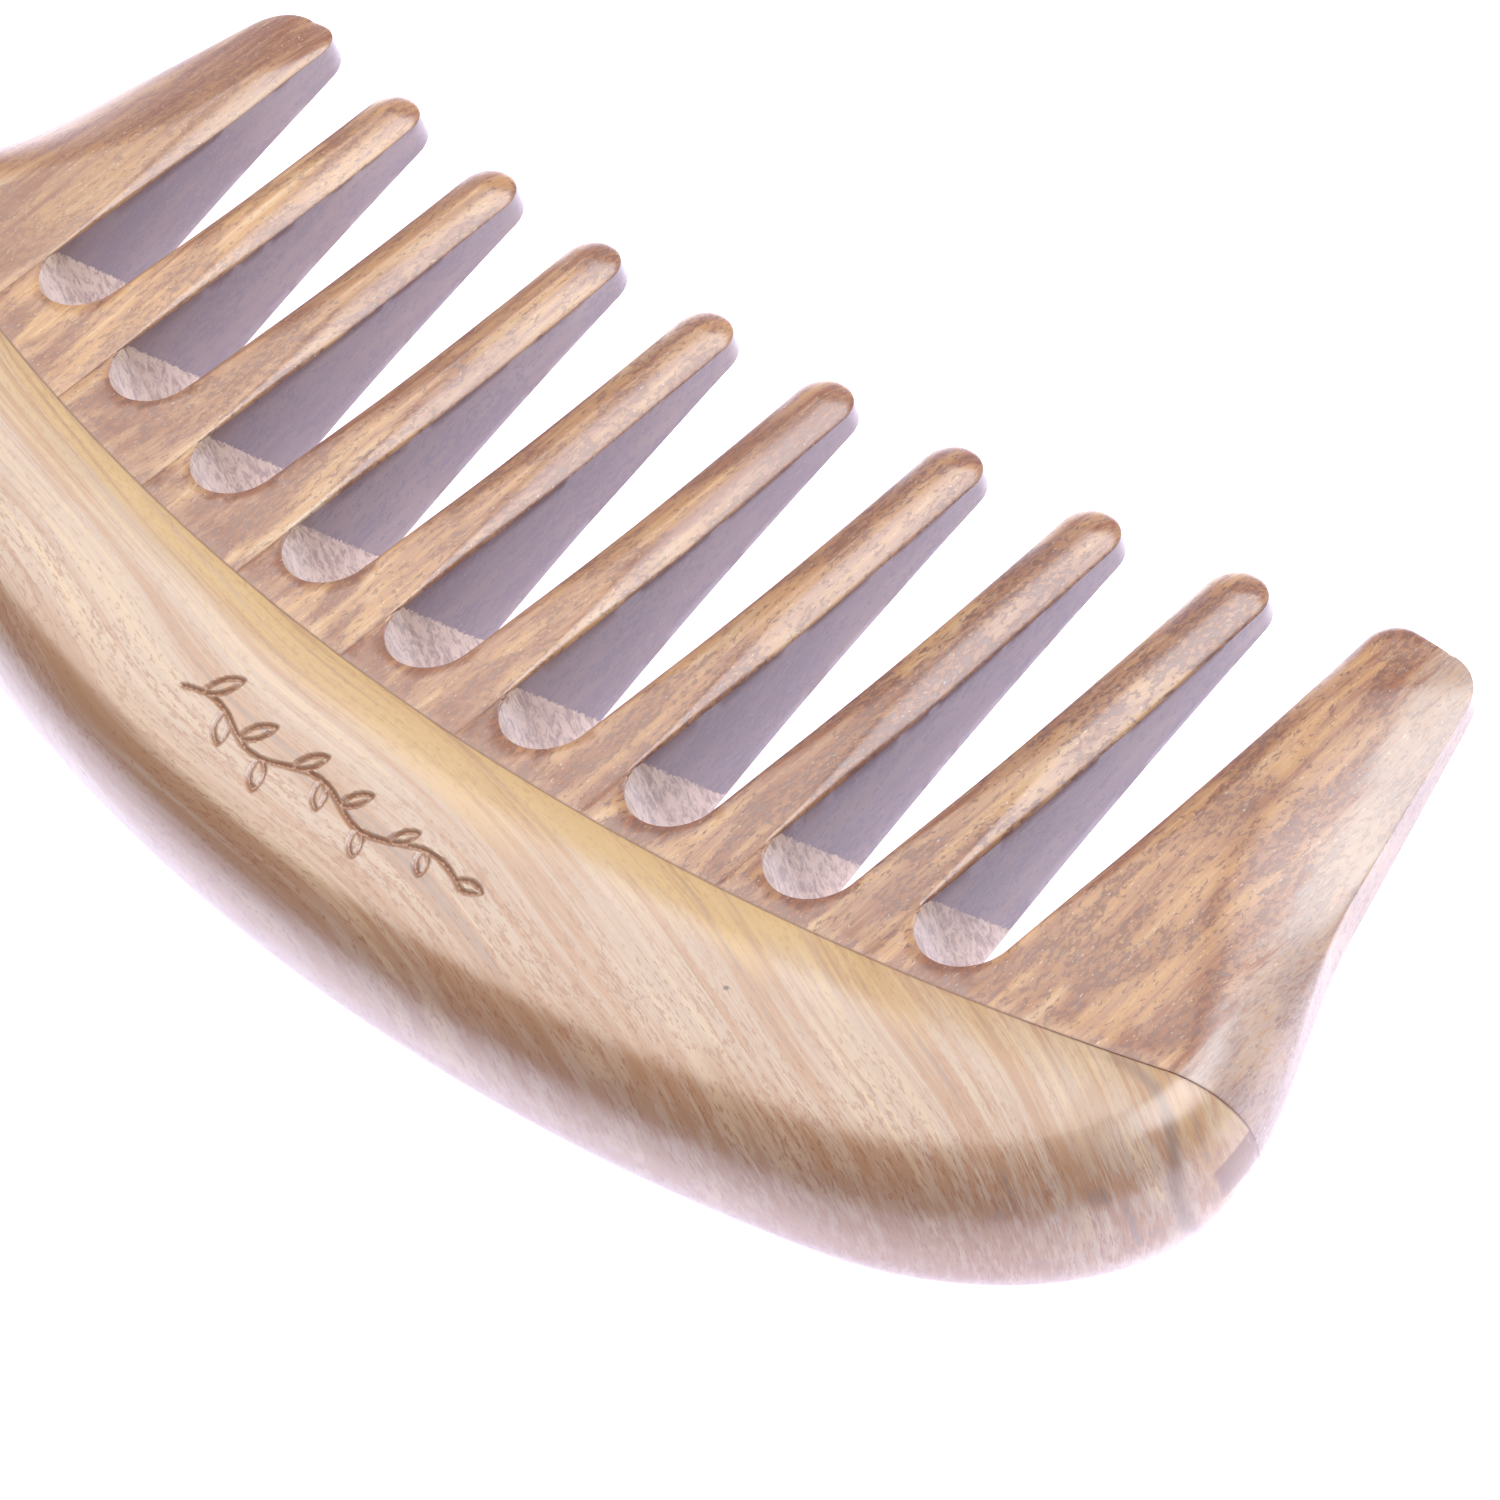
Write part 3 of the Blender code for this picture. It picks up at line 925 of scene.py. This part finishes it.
def finish_wood(graph, colour, roughness, fibres, pores, bump_onto=None):
    """Thin glue line over the colour, satin wax over the wood, and fibres and pores in the surface."""
    shader = graph.shader
    colour = graph.blend(graph.step(graph.mark("glue"), 0.15, 0.95, 0.0, GLUE_STRENGTH), colour, GLUE)
    graph.feed(shader.inputs["Base Color"], colour)
    graph.feed(shader.inputs["Roughness"], roughness)
    shader.inputs["Specular IOR Level"].default_value = 0.55
    shader.inputs["Coat Weight"].default_value = 1.0
    shader.inputs["Coat Roughness"].default_value = 0.26
    surface = graph.bump(fibres, FIBRE_RELIEF, 0.4, bump_onto)
    graph.feed(shader.inputs["Normal"], graph.bump(pores, PORE_RELIEF, 0.5, surface))
    return graph.material


def stave_point(graph, index):
    """A point in a stave's own wood, whose grain leans and sways a little."""
    shift = (37.0 * index + 11.0, 53.0 * index + 7.0, 29.0 * index)
    lean = 0.05 * math.sin(2.3 * index)
    axes = graph.split(graph.point)
    leaning_x = graph.math("ADD", axes[0], graph.math("MULTIPLY", axes[1], lean))
    point = graph.vector("ADD", graph.join(leaning_x, axes[1], axes[2]), shift)
    sway = graph.noise(point, STAVE_SWAY, 1.0)
    return graph.vector("ADD", point, graph.scale(graph.join(sway, 0.0, sway), (2.2, 1.0, 1.0)))


def sapwood_and_sheen(graph, streaks, fibres):
    """Share of paler wood on the outer side of the right guard, with a soft streaky edge: partly sapwood,
    partly a painted sheen.
    """
    axes = graph.split(graph.point)
    beyond = graph.weigh((axes[0], math.cos(SAPWOOD_SHEEN_LEAN)), (axes[1], math.sin(SAPWOOD_SHEEN_LEAN)))
    beyond = graph.math("ADD", beyond, graph.wobble(streaks, SAPWOOD_SHEEN_WOBBLE))
    pale = graph.step(beyond, *SAPWOOD_SHEEN_EDGE)
    return graph.math("MULTIPLY", pale, graph.step(fibres, 0.36, 0.56, 0.36, 0.66))


def stave_material(name, index):
    """Tan and orange wood with the grain along the tooth, crowded with small dark flecks."""
    light, red, flecking = STAVE_TONES[index]
    graph = Graph(name)
    point = stave_point(graph, index)
    streaks = graph.noise(point, STAVE_STREAKS, 3.0, 0.6)
    broad = graph.noise(point, STAVE_BROAD, 2.0, 0.5)
    fibres = graph.noise(point, STAVE_FIBRES, 2.0, 0.6)
    tone = graph.weigh((streaks, 0.50), (broad, 0.35), (fibres, 0.15))
    stops = [(place, tuple(light * part for part in colour)) for place, colour in STAVE_RAMP]
    base = graph.ramp(tone, stops)
    base = graph.blend(0.40 * red, base, REDDISH)
    crowd = graph.step(graph.noise(point, STAVE_CROWD, 2.0), 0.40, 0.60)
    near_joint = graph.step(graph.joint_depth(), -9.0, -1.0, 0.0, 0.45)
    russet = graph.math("MULTIPLY", crowd, graph.math("ADD", near_joint, 0.72 * flecking))
    base = graph.blend(russet, base, RUSSET)
    cell = graph.noise(point, STAVE_FLECKS, 4.0, 0.68, 0.15)
    packed = graph.math("ADD", cell, graph.math("MULTIPLY", crowd, 0.10))
    flecks = graph.math("MULTIPLY", graph.step(packed, 0.545, 0.645), 0.92 * flecking)
    base = graph.blend(flecks, base, FLECK_RED)
    elsewhere = graph.vector("ADD", point, (91.0, 17.0, 5.0))
    grey_cell = graph.noise(elsewhere, STAVE_GREY_FLECKS, 3.0, 0.62, 0.15)
    grey_flecks = graph.math("MULTIPLY", graph.step(grey_cell, 0.565, 0.665), crowd)
    base = graph.blend(graph.math("MULTIPLY", grey_flecks, 0.62 * flecking), base, FLECK_GREY)
    # The right guard's outer side is paler: partly sapwood, partly painted sheen
    if index == TOOTH_COUNT - 1:
        base = graph.blend(sapwood_and_sheen(graph, streaks, fibres), base, SAPWOOD_AND_SHEEN)
    glint = graph.step(graph.noise(point, STAVE_GLINTS, 1.0), 0.68, 0.77, 0.0, GLINT_STRENGTH)
    base = graph.blend(glint, base, FIBRE_GLINT)
    # Side walls of the teeth and slots: painted shade, tinted lavender by the floor's bounce light
    base = graph.blend(graph.step(graph.mark("wall"), 0.35, 0.9, 0.0, PAINTED_WALL_SHADE_STRENGTH), base, PAINTED_WALL_SHADE)

    rough_grain = graph.noise(point, ROUGH_GRAIN, 4.0, 0.7, 0.6)
    torn = graph.wobble(graph.noise(point, TORN_EDGE, 3.0, 0.7), TORN_WOBBLE)
    skin = graph.step(graph.math("ADD", graph.mark("feather"), torn), -0.012, 0.004, 1.0, 0.0)
    cut = graph.math("MAXIMUM", graph.step(graph.mark("bottom"), 0.45, 0.8), skin)
    rough_colour = graph.blend(graph.step(rough_grain, 0.36, 0.60), ROUGH_DARK, ROUGH_PALE)
    base = graph.blend(cut, base, rough_colour)
    roughness = graph.step(fibres, 0.3, 0.7, 0.36, 0.48)
    roughness = graph.math("ADD", roughness, graph.math("MULTIPLY", cut, 0.14))
    tear = graph.bump(graph.math("MULTIPLY", rough_grain, cut), TEAR_RELIEF, 0.6)
    pores = graph.math("SUBTRACT", 1.0, flecks)
    return finish_wood(graph, base, roughness, fibres, pores, tear)


def back_material(name):
    """Long grained wood: gold beside the joint, pink cream on the crown, brown on the rounding."""
    graph = Graph(name)
    axes = graph.split(graph.point)
    flat_point = graph.join(axes[0], axes[1], 0.0)
    depth = graph.joint_depth()
    height = graph.math("SUBTRACT", axes[2], MIDDLE)

    sway = graph.wobble(graph.noise(graph.point, BACK_SWEEP, 1.0, 0.4), BACK_SWAY)
    right_x = graph.math("MAXIMUM", axes[0], 0.0)
    drift = graph.weigh((axes[0], BACK_DRIFT), (graph.math("MULTIPLY", right_x, right_x), BACK_BEND))
    across = graph.math("ADD", graph.math("ADD", depth, drift), sway)
    point = graph.join(axes[0], across, axes[2])

    broad = graph.noise(point, BACK_BROAD, 2.0, 0.5)
    lines = graph.noise(point, BACK_LINES, 3.0, 0.6)
    fibres = graph.noise(point, BACK_FIBRES, 2.0, 0.6)
    tone = graph.weigh((broad, 0.38), (lines, 0.36), (fibres, 0.26))
    base = graph.ramp(tone, BACK_RAMP)
    edge = graph.math("ADD", depth, graph.wobble(broad, BAND_WOBBLE))
    golden = graph.math("MULTIPLY", graph.step(edge, *GOLD_BAND), graph.step(lines, 0.38, 0.54, 0.35, 0.85))
    middle = graph.step(graph.math("ABSOLUTE", axes[0]), *GOLD_FADE_X, 1.0, 0.40)
    base = graph.blend(graph.math("MULTIPLY", golden, middle), base, GOLD)
    band = graph.math("MULTIPLY", graph.step(edge, *BROWN_BAND), graph.step(lines, 0.42, 0.58, 0.85, 0.45))
    base = graph.blend(band, base, BAND_BROWN)
    cell = graph.noise(point, BACK_FLECKS, 3.0, 0.6, 0.15)
    crowd = graph.step(graph.noise(point, BACK_CROWD, 2.0), 0.38, 0.60)
    packed = graph.math("ADD", cell, graph.math("MULTIPLY", crowd, 0.06))
    away = graph.step(edge, 3.0, 12.0, 0.35, 1.0)
    flecks = graph.math("MULTIPLY", graph.step(packed, 0.57, 0.67, 0.0, 0.60), away)
    base = graph.blend(flecks, base, RUSSET)
    ring_gap = graph.vector("LENGTH", graph.vector("SUBTRACT", flat_point, STREAK_CENTRE), output="Value")
    ring = graph.math("ABSOLUTE", graph.math("SUBTRACT", ring_gap, STREAK_RADIUS))
    limit = graph.blotch(flat_point, STREAK_PLACE, 0.0, STREAK_SPREAD, STREAK_SPREAD, STREAK_STRENGTH)
    streak = graph.math("MULTIPLY", graph.step(ring, STREAK_HALF, 0.0), limit)
    base = graph.blend(streak, base, STREAK_BROWN)
    for place, angle, length, width, share, colour in DARK_MARKS:
        base = graph.blend(graph.blotch(flat_point, place, angle, length, width, share), base, colour)
    short = graph.step(depth, TONGUE_DEPTH + 0.3, TONGUE_DEPTH - 0.4)
    thin = graph.step(graph.math("ABSOLUTE", height), TONGUE_HALF + 0.1, TONGUE_HALF - 0.2)
    tongue = graph.math("MULTIPLY", graph.math("MULTIPLY", short, thin), TONGUE_STRENGTH)
    base = graph.blend(tongue, base, TONGUE_END)
    base = graph.blend(graph.step(graph.mark("carving"), 0.05, 0.6, 0.0, CARVING_STRENGTH), base, BURNT)
    roughness = graph.step(fibres, 0.3, 0.7, 0.35, 0.46)
    pores = graph.math("SUBTRACT", 1.0, flecks)
    return finish_wood(graph, base, roughness, fibres, pores)


# ---------------------------------------------------------------- pieces
def place_piece(node, mesh, material):
    """Put a mesh in the place of its CAD node."""
    piece = bpy.data.objects.new(node + "_piece", mesh)
    bpy.context.scene.collection.objects.link(piece)
    mesh.materials.append(material)
    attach(piece, "root")
    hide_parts(node)


def build_comb():
    back = build_mesh("back_mesh", Plan(back_outline()), carved=True)
    place_piece("back", back, back_material("golden_wood"))
    for index, name in enumerate(STAVE_NAMES):
        lip = None
        if index < TOOTH_COUNT - 1:
            lip = (seam_x(index + 1), slot_root(index + 1))
        mesh = build_mesh(name + "_mesh", Plan(stave_outline(index)), lip=lip)
        place_piece(name, mesh, stave_material(name + "_finish", index))


# ---------------------------------------------------------------- studio
# In metres: floor, then softboxes as (name, direction, distance, size, power, colour), world and camera
FLOOR_SIZE = 6.0
FLOOR_GAP = 0.00005
FLOOR_GLOW = 1.42
FLOOR_TINT = (0.74, 0.745, 1.0)
FLOOR_TONES = [(0.0, (0.86, 0.85, 0.88)), (1.0, (0.90, 0.89, 0.92))]
FLOOR_MOTTLE = (40.0, 40.0, 40.0)
SOFTBOXES = [
    ("far_softbox", (-0.62, 0.20, 0.76), 1.2, (0.75, 0.42), 4.9, (1.0, 0.93, 0.86)),
    ("top_softbox", (0.20, 0.51, 0.84), 1.1, (0.95, 0.70), 13.5, (0.95, 0.96, 1.0)),
]
WORLD_TINT = (0.92, 0.89, 1.0)
WORLD_GLOW = 0.38
CAMERA_PLACE = (0.2692, -0.11774, 0.3234)
CAMERA_TURN = (0.6625, 0.2744, 0.7908)
CAMERA_LENS = 140.3
SENSOR_WIDTH = 36.0
CAMERA_RANGE = (0.01, 20.0)


def make_floor():
    half = FLOOR_SIZE / 2
    level = BACK_BOX[0][2] - FLOOR_GAP
    mesh = bpy.data.meshes.new("floor")
    corners = [(-half, -half, level), (half, -half, level), (half, half, level), (-half, half, level)]
    mesh.from_pydata(corners, [], [(0, 1, 2, 3)])
    floor = bpy.data.objects.new("floor", mesh)
    bpy.context.scene.collection.objects.link(floor)
    graph = Graph("light_table")
    shader = graph.shader
    mottle = graph.noise(graph.point, FLOOR_MOTTLE, 2.0)
    graph.feed(shader.inputs["Base Color"], graph.ramp(mottle, FLOOR_TONES))
    shader.inputs["Roughness"].default_value = 0.8
    shader.inputs["Specular IOR Level"].default_value = 0.1
    shader.inputs["Emission Color"].default_value = (*FLOOR_TINT, 1.0)
    shader.inputs["Emission Strength"].default_value = FLOOR_GLOW
    mesh.materials.append(graph.material)


def make_softbox(name, direction, distance, size, power, colour):
    """A large soft light that faces the comb from a direction."""
    light = bpy.data.lights.new(name, "AREA")
    light.shape = "RECTANGLE"
    light.size, light.size_y = size
    light.energy = power
    light.color = colour
    lamp = bpy.data.objects.new(name, light)
    towards = Vector(direction).normalized()
    lamp.location = towards * distance
    lamp.rotation_mode = "QUATERNION"
    lamp.rotation_quaternion = towards.to_track_quat("Z", "Y")
    bpy.context.scene.collection.objects.link(lamp)


def make_world():
    world = bpy.data.worlds.new("studio")
    world.use_nodes = True
    background = world.node_tree.nodes["Background"]
    background.inputs["Color"].default_value = (*WORLD_TINT, 1.0)
    background.inputs["Strength"].default_value = WORLD_GLOW
    bpy.context.scene.world = world


def make_camera():
    data = bpy.data.cameras.new("camera")
    data.sensor_width = SENSOR_WIDTH
    data.lens = CAMERA_LENS
    data.clip_start, data.clip_end = CAMERA_RANGE
    camera = bpy.data.objects.new("camera", data)
    camera.location = CAMERA_PLACE
    camera.rotation_euler = CAMERA_TURN
    bpy.context.scene.collection.objects.link(camera)
    bpy.context.scene.camera = camera


build_comb()
make_floor()
make_world()
for softbox in SOFTBOXES:
    make_softbox(*softbox)
make_camera()
bpy.context.scene.view_settings.view_transform = "Standard"

bpy.context.view_layer.update()
